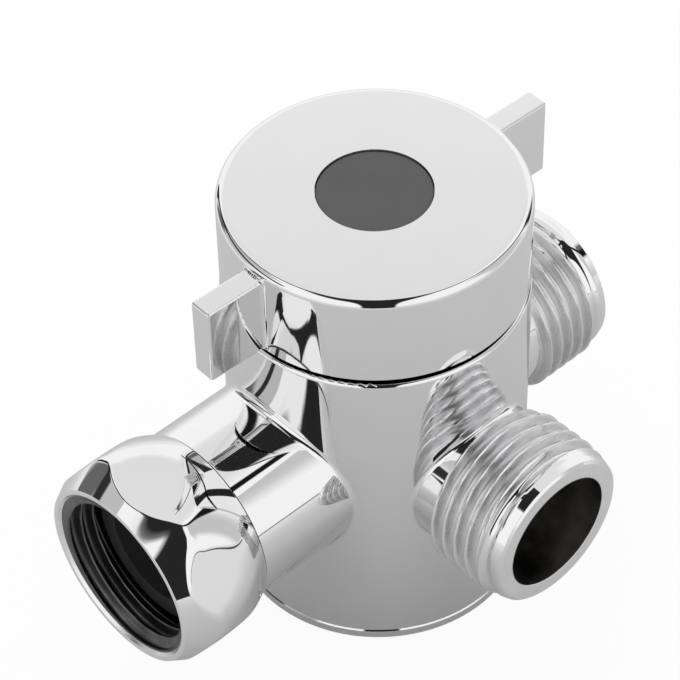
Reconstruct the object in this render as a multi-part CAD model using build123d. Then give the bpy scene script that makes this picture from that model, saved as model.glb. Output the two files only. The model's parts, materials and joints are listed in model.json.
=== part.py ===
from build123d import *
import os
from math import sqrt

# Shower diverter valve, in millimetres. The spindle stands along +Z and the origin is the
# centre of the flat foot. The inlet leaves the body towards -X, the straight outlet towards
# +X and the branch outlet towards -Y, all at one height.
# Turned pieces are drawn as half-sections of (radius, height) points and revolved.

# Directions of the three ports, in degrees about +Z
inlet_angle = 180
through_angle = 0
branch_angle = -90

# Clearances
running_gap = 0.05        # radial, between a turning piece and its bore
assembly_gap = 0.1        # between pieces that are pushed together
face_gap = 0.05           # between two faces that slide past each other

# Half-inch pipe thread
thread_crest_r = 10.4775
female_crest_r = 9.3155
thread_pitch = 1.814
thread_flat = 0.3         # width of the crests, and of the floor between them

# Cartridge, from which the body is sized
cartridge_r = 12.9
cartridge_wall = 1.3
disc_gap = 0.3            # radial, between the fixed disc and the cup
disc_step = 0.7           # how much smaller the moving disc is
fixed_disc_h = 2.4
moving_disc_h = 2.4
port_land = 1.0           # ceramic outside the outlet ports
outlet_port_r = 2.2
inlet_port_r = 2.8
channel_rim = 0.3
channel_depth = 1.4
channel_half_angle = 50
seal_w = 0.8
seal_groove_h = 0.8
base_flange_h = 1.3
base_spigot_h = 1.1
disc_seal_h = 0.6
disc_seal_recess = 0.4
carrier_flange_h = 1.8
carrier_hub_h = 1.3
lug_w = 3.0
lug_l = 3.0
lug_h = 1.0
lug_inset = 1.0
slide_washer_t = 0.4
shoulder_wall = 1.4
boss_wall = 3.0
boss_h = 5.5
peg_r = 1.2
peg_length = 1.5
peg_inset = 2.9
peg_angles = (45, 135)
rib_r = 1.1

# Body
body_wall = 4.24          # outside the gland thread
foot_cap_h = 1.6
foot_cap_lip = 0.35
foot_wall = 3.24
foot_roof = 3.4           # metal between the hollow foot and the outlets
foot_spigot_h = 3.0
foot_spigot_wall = 2.0
spanner_hole_r = 1.5
spanner_hole_depth = 1.0
port_height = 24.4
body_edge_r = 0.5
passage_r = 4.6           # water way inside the body
passage_overrun = 0.4
seat_floor = 1.4          # metal between the water ways and the cartridge seat
outlet_root_fillet = 0.7
stub_root_fillet = 0.9

# Outlets
neck_undercut = 0.1       # below the root of the thread
neck_length = 0.8         # clear of the body
thread_length = 8.66
outlet_cone_l = 2.69
outlet_bore_r = 7.4
outlet_end_wall = 2.2
outlet_bore_depth = 13.9
outlet_edge_r = 0.25

# Inlet stub and tail
stub_length = 9.96        # clear of the body
stub_step = 2.4           # shoulder behind the swivel nut
tail_wall = 2.5
tail_length = 5.6
tail_edge = 0.3
inlet_bore_r = 6.3
inlet_bore_depth = 18.8

# Swivel nut
nut_length = 12.65
nut_rear_gap = 0.2
nut_rear_step = 0.2       # how far the rear edge stands out of the stub
nut_belly_from_mouth = 3.55
nut_rim_w = 0.6
nut_across_flats = 25.4
nut_flat_depth = 1.0      # from the belly down to the flats
nut_flat_edge = 0.4
nut_phase = 5             # lean of the top flat toward the branch outlet
nut_collar = 2.0          # thickness of the inward lip behind the ring
nut_mouth_step = 0.5
nut_countersink_step = 0.2
nut_countersink_depth = 1.75
retaining_ring_w = 1.3
retaining_ring_t = 1.15
retaining_ring_proud = 0.4
retaining_ring_opening = 40

# Inlet washer
washer_t = 2.3
washer_step = 0.3
washer_edge = 0.2

# Spindle
spindle_r = 4.0
spindle_flange_w = 1.4
spindle_flange_h = 1.2
hub_step = 0.8
tang_w = 7.0
tang_t = 3.2
tang_floor = 0.6
o_ring_section_r = 0.45
o_ring_gap = 0.02
o_ring_shares = (0.25, 0.65)
clip_t = 0.7
clip_w = 1.9
clip_groove_depth = 0.55
clip_opening = 70
spline_teeth = 20
spline_depth = 0.4
tap_depth = 8.0

# Quarter-turn stop
turn_angle = 90
stop_ring_t = 1.2
stop_ring_w = 2.0
stop_lug_l = 2.6
stop_lug_half_angle = 20
stop_slack_angle = 2
fence_gap = 0.4
fence_w = 2.3

# Gland nut
gland_step = 1.1          # thread outside the cartridge
gland_thread_h = 3.75
gland_flat_inset = 2.0
gland_hex_h = 3.2
gland_crown = 1.2
gland_chamfer = 0.8
gland_run_in = 1.0

# Handle
handle_inset = 0.09       # how much smaller it is than the body, on the radius
handle_gap = 0.9          # open line between the body and the handle
handle_h = 12.2
handle_edge_r = 1.15
handle_wall = 2.4
handle_roof = 3.0
handle_boss_wall = 3.5
handle_boss_gap = 0.3
handle_rib_t = 1.2
wing_length = 7.8         # outside the cap
wing_t = 2.95
wing_lean = 1.4           # turn of the wings off the straight run, clockwise from above
wing_top_drop = 1.4
wing_bottom_rise = 0.25
wing_edge = 0.35
wing_root_fillet = 0.6
web_t = 2.3
spline_end_gap = 0.2
index_r = 6.78
index_t = 1.2
index_recess = 0.2
index_skirt = 0.4
index_skirt_w = 1.0
index_edge = 0.15

# Handle screw
screw_r = 2.0
screw_head_r = 3.6
screw_head_h = 1.9
screw_length = 9.0
screw_slot_w = 0.9
screw_slot_l = 3.6
screw_slot_depth = 0.8

# Radii that follow from the sizes above
cavity_r = cartridge_r - cartridge_wall
fixed_disc_r = cavity_r - disc_gap
moving_disc_r = fixed_disc_r - disc_step
channel_r = moving_disc_r - channel_rim
port_ring_r = fixed_disc_r - port_land - outlet_port_r
seat_bore_r = cartridge_r + assembly_gap
gland_thread_r = cartridge_r + gland_step
gland_half_flats = gland_thread_r - gland_flat_inset
body_r = gland_thread_r + body_wall
foot_pocket_r = body_r - foot_wall
handle_r = body_r - handle_inset
spindle_bore_r = spindle_r + running_gap
spindle_flange_r = spindle_r + spindle_flange_w
carrier_hub_r = spindle_flange_r + hub_step
hub_bore_r = carrier_hub_r + 2 * assembly_gap
boss_r = hub_bore_r + boss_wall
stop_ring_r = spindle_r + stop_ring_w
o_ring_middle_r = spindle_bore_r - o_ring_gap - o_ring_section_r
outlet_neck_r = female_crest_r - neck_undercut
outlet_end_r = outlet_bore_r + outlet_end_wall
tail_r = inlet_bore_r + tail_wall
stub_r = tail_r + stub_step
ring_outer_r = tail_r + retaining_ring_proud
ring_inner_r = ring_outer_r - retaining_ring_w
ring_groove_r = ring_inner_r - retaining_ring_proud - running_gap
nut_relief_r = thread_crest_r + assembly_gap
nut_rear_r = stub_r + nut_rear_step
nut_half_flats = nut_across_flats / 2
nut_belly_r = nut_half_flats + nut_flat_depth
nut_mouth_r = thread_crest_r + nut_mouth_step
nut_countersink_r = thread_crest_r + nut_countersink_step
nut_rim_r = nut_mouth_r + nut_rim_w

# Heights that follow from the sizes above
seat_z = port_height + passage_r + seat_floor
base_top_z = seat_z + base_flange_h + base_spigot_h
fixed_disc_z = base_top_z - disc_seal_recess + disc_seal_h
moving_disc_z = fixed_disc_z + fixed_disc_h
carrier_z = moving_disc_z + moving_disc_h
slide_washer_z = carrier_z + carrier_flange_h
ceiling_z = slide_washer_z + slide_washer_t + face_gap
shoulder_z = ceiling_z + shoulder_wall
body_top_z = shoulder_z + gland_thread_h
boss_top_z = shoulder_z + boss_h
spindle_flange_z = slide_washer_z + carrier_hub_h
spindle_flange_top_z = spindle_flange_z + spindle_flange_h
tang_z = carrier_z + tang_floor
clip_z = boss_top_z + face_gap
stop_ring_z = clip_z + clip_t + assembly_gap
fence_top_z = stop_ring_z + stop_ring_t
handle_boss_z = fence_top_z + handle_boss_gap
handle_bottom_z = body_top_z + handle_gap
handle_top_z = handle_bottom_z + handle_h
handle_roof_z = handle_top_z - handle_roof
pocket_floor_z = handle_top_z - index_recess - index_t - index_skirt
web_under_z = pocket_floor_z - web_t
spline_top_z = web_under_z - spline_end_gap
hex_top_z = body_top_z + gland_hex_h
foot_pocket_top_z = port_height - outlet_bore_r - foot_roof
o_ring_heights = [
    spindle_flange_top_z + share * (boss_top_z - spindle_flange_top_z) for share in o_ring_shares
]

# Places along the ports that follow from the sizes above
thread_start = body_r + neck_length
thread_end = thread_start + thread_length
outlet_reach = thread_end + outlet_cone_l
outlet_bore_end = outlet_reach - outlet_bore_depth
outlet_passage_end = port_ring_r - outlet_port_r
inlet_passage_end = inlet_port_r + passage_overrun
stub_reach = body_r + stub_length
tail_end = stub_reach + tail_length
inlet_bore_end = tail_end - inlet_bore_depth
nut_rear = stub_reach + nut_rear_gap
nut_mouth = nut_rear + nut_length
collar_end = nut_rear + nut_collar
ring_start = collar_end + face_gap
washer_end = tail_end + washer_t


def turned(*points):
    """Revolve a closed half-section of (radius, height) points about Z."""
    outline = Plane.XZ * Polyline(*points, close=True)
    return revolve(make_face(outline), Axis.Z)


def ring(inner_r, outer_r, bottom, top):
    """A plain ring about Z."""
    return turned((inner_r, bottom), (outer_r, bottom), (outer_r, top), (inner_r, top))


def rod(radius, bottom, top, x=0, y=0):
    """A plain cylinder along Z between two heights."""
    low = (Align.CENTER, Align.CENTER, Align.MIN)
    return Pos(x, y, bottom) * Cylinder(radius, top - bottom, align=low)


def block(x_size, y_size, bottom, top, x=0, y=0):
    """A box about its own vertical centre line, between two heights."""
    low = (Align.CENTER, Align.CENTER, Align.MIN)
    return Pos(x, y, bottom) * Box(x_size, y_size, top - bottom, align=low)


def arc_block(inner_r, outer_r, bottom, top, from_angle, to_angle):
    """A piece of a ring between two angles about Z."""
    section = Plane.XZ * Polyline(
        (inner_r, bottom), (outer_r, bottom), (outer_r, top), (inner_r, top), close=True
    )
    return Rot(0, 0, from_angle) * revolve(make_face(section), Axis.Z, to_angle - from_angle)


def on_port(shape, angle):
    """Lay a shape that was turned about Z on the port axis at this angle."""
    return Pos(0, 0, port_height) * Rot(0, 0, angle) * Rot(0, 90, 0) * shape


def port_hole_places():
    """Centres of the straight and the branch port in the cartridge seat."""
    return [Rot(0, 0, angle) * Pos(port_ring_r, 0, 0) for angle in (through_angle, branch_angle)]


def peg_places():
    """Centres of the two pegs that stop the cartridge turning."""
    return [Rot(0, 0, angle) * Pos(cartridge_r - peg_inset, 0, 0) for angle in peg_angles]


def on_seam(edge, angle, radius):
    """True where an edge runs along the seam of the body and a port of this radius."""
    turned_back = Rot(0, 0, -angle) * edge
    for share in (0.13, 0.5, 0.81):
        point = turned_back.position_at(share)
        off_axis = sqrt(point.Y ** 2 + (point.Z - port_height) ** 2)
        off_spindle = sqrt(point.X ** 2 + point.Y ** 2)
        if point.X < 0 or abs(off_axis - radius) > 0.02 or abs(off_spindle - body_r) > 0.02:
            return False
    return True


def thread_profile():
    """Crests and grooves of the outlet thread, drawn as rings, as (radius, height) points."""
    grooves = int(thread_length / thread_pitch)
    first = thread_start + (thread_length - (grooves - 1) * thread_pitch) / 2
    floor_half = thread_flat / 2
    mouth_half = (thread_pitch - thread_flat) / 2
    profile = []
    for groove in range(grooves):
        middle = first + groove * thread_pitch
        profile += [
            (thread_crest_r, middle - mouth_half),
            (female_crest_r, middle - floor_half),
            (female_crest_r, middle + floor_half),
            (thread_crest_r, middle + mouth_half),
        ]
    return profile


def outlet_outside():
    """Neck, thread, cone and end of an outlet, about Z."""
    return turned(
        (0, 0),
        (outlet_neck_r, 0),
        (outlet_neck_r, thread_start),
        (thread_crest_r, thread_start),
        *thread_profile(),
        (thread_crest_r, thread_end),
        (outlet_end_r, outlet_reach - outlet_edge_r),
        (outlet_end_r - outlet_edge_r, outlet_reach),
        (0, outlet_reach),
    )


def outlet_inside():
    """Water way of an outlet: a wide bore, then a drilled passage."""
    cone = outlet_bore_r - passage_r
    return turned(
        (0, outlet_passage_end),
        (passage_r, outlet_passage_end),
        (passage_r, outlet_bore_end),
        (outlet_bore_r, outlet_bore_end + cone / 2),
        (outlet_bore_r, outlet_reach + 1),
        (0, outlet_reach + 1),
    )


def stub_outside():
    """Inlet stub with the tail that carries the swivel nut and its ring groove."""
    groove_end = ring_start + retaining_ring_t + 2 * face_gap
    return turned(
        (0, 0),
        (stub_r, 0),
        (stub_r, stub_reach),
        (tail_r, stub_reach),
        (tail_r, ring_start),
        (ring_groove_r, ring_start),
        (ring_groove_r, groove_end),
        (tail_r, groove_end),
        (tail_r, tail_end - tail_edge),
        (tail_r - tail_edge, tail_end),
        (0, tail_end),
    )


def stub_inside():
    """Water way of the inlet, up to just past the middle of the body."""
    cone = inlet_bore_r - passage_r
    return turned(
        (0, -inlet_passage_end),
        (passage_r, -inlet_passage_end),
        (passage_r, inlet_bore_end),
        (inlet_bore_r, inlet_bore_end + cone),
        (inlet_bore_r, tail_end + 1),
        (0, tail_end + 1),
    )


def cartridge_pocket():
    """Stepped bore for the cartridge and the gland nut."""
    return turned(
        (0, seat_z),
        (seat_bore_r, seat_z),
        (seat_bore_r, shoulder_z - gland_run_in),
        (gland_thread_r, shoulder_z - gland_run_in),
        (gland_thread_r, body_top_z + 1),
        (0, body_top_z + 1),
    )


def make_body():
    """Turned body with its ports, blended at their roots, then bored out."""
    shell = rod(body_r, foot_cap_h, body_top_z)
    shell += on_port(stub_outside(), inlet_angle)
    for angle in (through_angle, branch_angle):
        shell += on_port(outlet_outside(), angle)
    stub_seams = [e for e in shell.edges() if on_seam(e, inlet_angle, stub_r)]
    shell = fillet(stub_seams, stub_root_fillet)
    for angle in (through_angle, branch_angle):
        neck_seams = [e for e in shell.edges() if on_seam(e, angle, outlet_neck_r)]
        shell = fillet(neck_seams, outlet_root_fillet)
    top_edge = shell.edges().filter_by(GeomType.CIRCLE).group_by(Axis.Z)[-1]
    shell = fillet(top_edge, body_edge_r)

    shell -= cartridge_pocket()
    shell -= rod(foot_pocket_r, foot_cap_h, foot_pocket_top_z)
    shell -= on_port(stub_inside(), inlet_angle)
    for angle in (through_angle, branch_angle):
        shell -= on_port(outlet_inside(), angle)
    shell -= rod(inlet_port_r, port_height, seat_z)
    for place in port_hole_places():
        shell -= place * rod(outlet_port_r, port_height + passage_r / 2, seat_z)
    for place in peg_places():
        shell -= place * rod(peg_r + assembly_gap, seat_z - peg_length - assembly_gap, seat_z)
    return shell


def make_base_cap():
    """Screwed cap that closes the hollow foot, with two holes for a pin spanner."""
    spigot_r = foot_pocket_r - assembly_gap
    spigot_top = foot_cap_h + foot_spigot_h
    lip = foot_cap_lip
    cap = turned(
        (0, 0),
        (body_r - lip / 2, 0),
        (body_r, lip / 2),
        (body_r, foot_cap_h - lip),
        (body_r - lip, foot_cap_h),
        (spigot_r, foot_cap_h),
        (spigot_r, spigot_top),
        (spigot_r - foot_spigot_wall, spigot_top),
        (spigot_r - foot_spigot_wall, foot_cap_h),
        (0, foot_cap_h),
    )
    for side in (-1, 1):
        cap -= rod(spanner_hole_r, 0, spanner_hole_depth, x=side * body_r / 2)
    return cap


def make_nut():
    """Barrel nut: two tangent arcs, six flats, an inward collar and the thread bore."""
    belly = nut_mouth - nut_belly_from_mouth
    rear_rise = nut_belly_r - nut_rear_r
    rear_run = belly - nut_rear
    rear_arc_r = (rear_rise ** 2 + rear_run ** 2) / (2 * rear_rise)
    rim_rise = nut_belly_r - nut_rim_r
    rim_arc_r = (rim_rise ** 2 + nut_belly_from_mouth ** 2) / (2 * rim_rise)

    def barrel_r(place):
        """Radius of the barrel at a distance from the spindle axis."""
        arc_r = rear_arc_r if place < belly else rim_arc_r
        return nut_belly_r - arc_r + sqrt(arc_r ** 2 - (belly - place) ** 2)

    rear_mid = nut_rear + rear_run / 2
    rim_mid = belly + nut_belly_from_mouth / 2
    thread_front = nut_mouth - nut_countersink_depth
    collar_bore_r = tail_r + running_gap
    outside = ThreePointArc(
        (nut_rear_r, nut_rear), (barrel_r(rear_mid), rear_mid), (nut_belly_r, belly)
    ) + ThreePointArc(
        (nut_belly_r, belly), (barrel_r(rim_mid), rim_mid), (nut_rim_r, nut_mouth)
    )
    inside = Polyline(
        (nut_rim_r, nut_mouth),
        (nut_mouth_r, nut_mouth),
        (nut_countersink_r, thread_front),
        (female_crest_r, thread_front),
        (female_crest_r, washer_end),
        (nut_relief_r, washer_end),
        (nut_relief_r, collar_end),
        (collar_bore_r, collar_end),
        (collar_bore_r, nut_rear),
        (nut_rear_r, nut_rear),
    )
    section = make_face(Plane.XZ * (outside + inside))
    barrel = revolve(section, Axis.Z)
    hexagon = RegularPolygon(nut_half_flats, 6, major_radius=False)
    turn = Rot(0, 0, 30 - nut_phase)
    prism = extrude(Pos(0, 0, nut_rear - 1) * turn * hexagon, nut_length + 2)
    nut = barrel & prism
    flat_faces = nut.faces().filter_by(GeomType.PLANE).filter_by(Axis.Z, reverse=True)
    flat_edges = [e for f in flat_faces for e in f.edges()]
    edge_r = min(nut_flat_edge, nut_flat_depth / 3)
    return on_port(fillet(flat_edges, edge_r), inlet_angle)


def make_retaining_ring():
    """Split ring, sprung out of its groove behind the nut's collar."""
    half = retaining_ring_opening / 2
    start = ring_start + face_gap
    end = start + retaining_ring_t
    split = arc_block(ring_inner_r, ring_outer_r, start, end, half, 360 - half)
    return on_port(split, inlet_angle)


def make_inlet_washer():
    """Flat rubber washer on the end of the tail, small enough to pass the nut's thread."""
    outer_r = female_crest_r - assembly_gap
    inner_r = inlet_bore_r + washer_step
    profile = turned(
        (inner_r, tail_end),
        (outer_r - washer_edge, tail_end),
        (outer_r, tail_end + washer_edge),
        (outer_r, washer_end - washer_edge),
        (outer_r - washer_edge, washer_end),
        (inner_r, washer_end),
    )
    return on_port(profile, inlet_angle)


def make_cartridge_base():
    """Flanged base with three ports, seal grooves below, a gasket recess above and two pegs."""
    spigot_r = cavity_r - assembly_gap
    base = turned(
        (0, seat_z),
        (cartridge_r, seat_z),
        (cartridge_r, seat_z + base_flange_h),
        (spigot_r, seat_z + base_flange_h),
        (spigot_r, base_top_z),
        (0, base_top_z),
    )
    for place in peg_places():
        base += place * rod(peg_r, seat_z - peg_length, seat_z)
    base -= gasket(base_top_z - disc_seal_recess, base_top_z, assembly_gap)
    base -= rod(inlet_port_r, seat_z, base_top_z)
    base -= rod(inlet_port_r + seal_w + assembly_gap, seat_z, seat_z + seal_groove_h)
    for place in port_hole_places():
        base -= place * rod(outlet_port_r, seat_z, base_top_z)
        base -= place * rod(outlet_port_r + seal_w + assembly_gap, seat_z, seat_z + seal_groove_h)
    return base


def gasket(bottom, top, spare):
    """Clover of three joined rings round the ports, grown by a spare width."""
    width = seal_w + spare
    clover = rod(inlet_port_r + width, bottom, top)
    for place in port_hole_places():
        clover += place * rod(outlet_port_r + width, bottom, top)
    for angle in (through_angle, branch_angle):
        clover += Rot(0, 0, angle) * block(port_ring_r, 2 * width, bottom, top, x=port_ring_r / 2)
    return clover


def make_disc_seal():
    """Rubber gasket in the recess of the base, under the fixed disc."""
    bottom = base_top_z - disc_seal_recess
    clover = gasket(bottom, bottom + disc_seal_h, 0)
    clover -= rod(inlet_port_r, bottom, bottom + disc_seal_h)
    for place in port_hole_places():
        clover -= place * rod(outlet_port_r, bottom, bottom + disc_seal_h)
    return clover


def port_seal(hole_r):
    """Rubber ring in a groove of the base, pressed on the body's seat."""
    top = seat_z + seal_groove_h
    edge = seal_w / 4
    return turned(
        (hole_r + edge, seat_z),
        (hole_r + seal_w - edge, seat_z),
        (hole_r + seal_w, seat_z + edge),
        (hole_r + seal_w, top),
        (hole_r, top),
        (hole_r, seat_z + edge),
    )


def make_fixed_disc():
    """Ceramic disc with three ports and two notches that stop it turning."""
    disc = rod(fixed_disc_r, fixed_disc_z, moving_disc_z)
    disc -= rod(inlet_port_r, fixed_disc_z, moving_disc_z)
    for place in port_hole_places():
        disc -= place * rod(outlet_port_r, fixed_disc_z, moving_disc_z)
    for angle in peg_angles:
        disc -= Rot(0, 0, angle) * rod(rib_r + assembly_gap, fixed_disc_z, moving_disc_z, x=cavity_r)
    return disc


def make_moving_disc():
    """Ceramic disc with a sector channel below and two lug slots above."""
    disc = rod(moving_disc_r, moving_disc_z, carrier_z)
    channel_top = moving_disc_z + channel_depth
    sector = arc_block(
        0, channel_r, moving_disc_z, channel_top,
        through_angle - channel_half_angle, through_angle + channel_half_angle,
    )
    disc -= sector + rod(inlet_port_r, moving_disc_z, channel_top)
    slot_bottom = carrier_z - lug_h - assembly_gap
    slot_w = lug_w + 2 * assembly_gap
    slot_l = lug_l + 2 * assembly_gap
    for side in (-1, 1):
        disc -= block(slot_w, slot_l, slot_bottom, carrier_z, y=side * lug_middle())
    return disc


def make_disc_carrier():
    """Driver of the moving disc: two lugs below, a slotted hub above."""
    carrier = rod(moving_disc_r, carrier_z, slide_washer_z)
    carrier += rod(carrier_hub_r, slide_washer_z, spindle_flange_z)
    for side in (-1, 1):
        carrier += block(lug_w, lug_l, carrier_z - lug_h, carrier_z, y=side * lug_middle())
    slot_w = tang_w + 2 * running_gap
    slot_t = tang_t + 2 * running_gap
    carrier -= block(slot_w, slot_t, tang_z - assembly_gap, spindle_flange_z)
    return carrier


def lug_middle():
    """Distance of the driving lugs from the spindle axis."""
    return moving_disc_r - lug_inset - lug_l / 2


def make_slide_washer():
    """Thin low-friction washer between the driver and the ceiling of the cup."""
    return ring(hub_bore_r, moving_disc_r, slide_washer_z, slide_washer_z + slide_washer_t)


def make_cartridge_housing():
    """Cup over the discs, with a boss for the spindle and the fence of the quarter-turn stop."""
    bottom = seat_z + base_flange_h
    hub_room_top = spindle_flange_z + face_gap
    flange_room_top = spindle_flange_top_z + face_gap
    flange_room_r = spindle_flange_r + assembly_gap
    housing = turned(
        (cavity_r, bottom),
        (cartridge_r, bottom),
        (cartridge_r, shoulder_z),
        (boss_r, shoulder_z),
        (boss_r, boss_top_z),
        (spindle_bore_r, boss_top_z),
        (spindle_bore_r, flange_room_top),
        (flange_room_r, flange_room_top),
        (flange_room_r, hub_room_top),
        (hub_bore_r, hub_room_top),
        (hub_bore_r, ceiling_z),
        (cavity_r, ceiling_z),
    )
    inside_wall = rod(cavity_r + cartridge_wall / 2, base_top_z, moving_disc_z)
    for angle in peg_angles:
        rib = rod(rib_r, base_top_z, moving_disc_z, x=cavity_r)
        housing += Rot(0, 0, angle) * (rib & inside_wall)
    clear_angle = stop_lug_half_angle + stop_slack_angle
    fence_inner_r = stop_ring_r + fence_gap
    housing += arc_block(
        fence_inner_r, fence_inner_r + fence_w, boss_top_z, fence_top_z,
        clear_angle, 360 - turn_angle - clear_angle,
    )
    return housing


def spline_prism(outer_r, depth, bottom, top):
    """Straight-sided spline: a ring of trapezoid teeth on a core, as one outline."""
    pitch = 360 / spline_teeth
    root_r = outer_r - depth
    tooth_outline = ((-0.3, root_r), (-0.15, outer_r), (0.15, outer_r), (0.3, root_r))
    points = []
    for tooth in range(spline_teeth):
        for share, radius in tooth_outline:
            point = Vector(radius, 0).rotate(Axis.Z, (tooth + share) * pitch)
            points.append((point.X, point.Y))
    outline = make_face(Polyline(*points, close=True))
    return extrude(Pos(0, 0, bottom) * outline, top - bottom)


def make_spindle():
    """Tang, thrust flange, sealed shaft, clip groove, spline and tapped hole."""
    spline_z = clip_z + clip_t + assembly_gap
    spindle = rod(spindle_flange_r, spindle_flange_z, spindle_flange_top_z)
    spindle += rod(spindle_r, spindle_flange_z, spline_z)
    spindle += block(tang_w, tang_t, tang_z, spindle_flange_z)
    spindle += spline_prism(spindle_r - running_gap, spline_depth, spline_z, spline_top_z)
    groove_r = o_ring_middle_r - o_ring_section_r - o_ring_gap
    half_groove = o_ring_section_r + assembly_gap
    for height in o_ring_heights:
        spindle -= ring(groove_r, spindle_bore_r, height - half_groove, height + half_groove)
    clip_groove_r = spindle_r - clip_groove_depth
    clip_top = clip_z + clip_t + face_gap
    spindle -= ring(clip_groove_r, spindle_bore_r, clip_z - face_gap, clip_top)
    spindle -= rod(screw_r + running_gap, spline_top_z - tap_depth, spline_top_z)
    return spindle


def make_o_ring(height):
    """Rubber ring squeezed between its groove and the bore."""
    return Pos(0, 0, height) * Torus(o_ring_middle_r, o_ring_section_r)


def make_spindle_clip():
    """Open spring clip that keeps the spindle from dropping into the cartridge."""
    inner_r = spindle_r - clip_groove_depth + o_ring_gap
    half = clip_opening / 2
    return arc_block(inner_r, inner_r + clip_w, clip_z, clip_z + clip_t, half, 360 - half)


def make_stop_ring():
    """Ring on the spline with the lug that meets the fence at both ends of the turn."""
    stop = rod(stop_ring_r, stop_ring_z, fence_top_z)
    stop += arc_block(
        stop_ring_r - stop_ring_w / 2, stop_ring_r + stop_lug_l, stop_ring_z, fence_top_z,
        -stop_lug_half_angle, stop_lug_half_angle,
    )
    stop -= spline_prism(spindle_r, spline_depth, stop_ring_z, fence_top_z)
    return stop


def make_gland_nut():
    """Threaded ring with a hexagon that holds the cartridge down, under the handle."""
    bore_r = boss_r + assembly_gap
    gland = ring(bore_r, gland_thread_r - running_gap, shoulder_z, body_top_z)
    hexagon = RegularPolygon(gland_half_flats, 6, major_radius=False)
    head = extrude(Pos(0, 0, body_top_z) * hexagon, gland_hex_h)
    crown = rod(gland_half_flats + gland_crown, body_top_z, hex_top_z)
    crown = chamfer(crown.edges().group_by(Axis.Z)[-1], gland_chamfer)
    head = (head & crown) - rod(bore_r, body_top_z, hex_top_z)
    return gland + head


def make_wing(angle):
    """Flat rectangular grip with rounded edges, sunk into the cap's wall."""
    inner = handle_r - handle_wall / 2
    reach = handle_r + wing_length
    bottom = handle_bottom_z + wing_bottom_rise
    top = handle_top_z - wing_top_drop
    wing = block(reach - inner, wing_t, bottom, top, x=(reach + inner) / 2)
    outer_edges = wing.edges().filter_by(Axis.X) + wing.faces().sort_by(Axis.X)[-1].edges()
    return Rot(0, 0, angle) * fillet(outer_edges, wing_edge)


def on_wing_root(edge, angle):
    """True for an upright edge where the wing at this angle meets the cap."""
    point = edge.center().rotate(Axis.Z, -angle)
    wing_half = wing_t / 2
    root_x = sqrt(handle_r ** 2 - wing_half ** 2)
    return abs(point.X - root_x) < 0.05 and abs(abs(point.Y) - wing_half) < 0.05


def make_handle():
    """Round cap with two wings, a splined boss, a screw web and four ribs inside."""
    inner_r = handle_r - handle_wall
    cap = rod(handle_r, handle_bottom_z, handle_top_z)
    cap = fillet(cap.edges().group_by(Axis.Z)[-1], handle_edge_r)
    cap -= rod(inner_r, handle_bottom_z, handle_roof_z)
    for angle in (-wing_lean, 180 - wing_lean):
        cap += make_wing(angle)
        roots = [e for e in cap.edges().filter_by(Axis.Z) if on_wing_root(e, angle)]
        cap = fillet(roots, wing_root_fillet)
    cap += rod(spindle_r + handle_boss_wall, handle_boss_z, handle_roof_z)
    rib_length = inner_r + handle_wall / 2
    for angle in (45, 135, 225, 315):
        rib = block(rib_length, handle_rib_t, handle_boss_z, handle_roof_z, x=rib_length / 2)
        cap += Rot(0, 0, angle) * rib
    cap -= spline_prism(spindle_r, spline_depth, handle_boss_z, web_under_z)
    cap -= rod(index_r + running_gap, pocket_floor_z, handle_top_z)
    cap -= screw_form(running_gap, web_under_z)
    return cap


def screw_form(spare, bottom):
    """Countersunk head and shank, grown by a spare width."""
    head_under = pocket_floor_z - screw_head_h
    return turned(
        (0, bottom),
        (screw_r + spare, bottom),
        (screw_r + spare, head_under),
        (screw_head_r + spare, pocket_floor_z),
        (0, pocket_floor_z),
    )


def make_handle_screw():
    """Countersunk screw with a cross slot, seen only when the index cap is lifted."""
    screw = screw_form(0, pocket_floor_z - screw_length)
    slot_bottom = pocket_floor_z - screw_slot_depth
    screw -= block(screw_slot_l, screw_slot_w, slot_bottom, pocket_floor_z)
    screw -= block(screw_slot_w, screw_slot_l, slot_bottom, pocket_floor_z)
    return screw


def make_index_cap():
    """Plain disc with a skirt, pressed into the handle's pocket."""
    top = pocket_floor_z + index_skirt + index_t
    cap = rod(index_r, pocket_floor_z, top)
    cap -= rod(index_r - index_skirt_w, pocket_floor_z, pocket_floor_z + index_skirt)
    return chamfer(cap.edges().group_by(Axis.Z)[-1], index_edge)


through_place, branch_place = port_hole_places()
pieces = {
    "valve_body": make_body(),
    "base_cap": make_base_cap(),
    "inlet_swivel_nut": make_nut(),
    "nut_retaining_ring": make_retaining_ring(),
    "inlet_washer": make_inlet_washer(),
    "cartridge_base": make_cartridge_base(),
    "inlet_port_seal": port_seal(inlet_port_r),
    "through_port_seal": through_place * port_seal(outlet_port_r),
    "branch_port_seal": branch_place * port_seal(outlet_port_r),
    "disc_seal": make_disc_seal(),
    "fixed_disc": make_fixed_disc(),
    "moving_disc": make_moving_disc(),
    "disc_carrier": make_disc_carrier(),
    "slide_washer": make_slide_washer(),
    "cartridge_housing": make_cartridge_housing(),
    "spindle": make_spindle(),
    "spindle_o_ring_lower": make_o_ring(o_ring_heights[0]),
    "spindle_o_ring_upper": make_o_ring(o_ring_heights[1]),
    "spindle_clip": make_spindle_clip(),
    "stop_ring": make_stop_ring(),
    "gland_nut": make_gland_nut(),
    "handle": make_handle(),
    "handle_screw": make_handle_screw(),
    "index_cap": make_index_cap(),
}

os.makedirs("parts", exist_ok=True)
for name, shape in pieces.items():
    export_step(shape, f"parts/{name}.step")
    print(f"{name}: {shape.volume:.1f} mm3")
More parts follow.
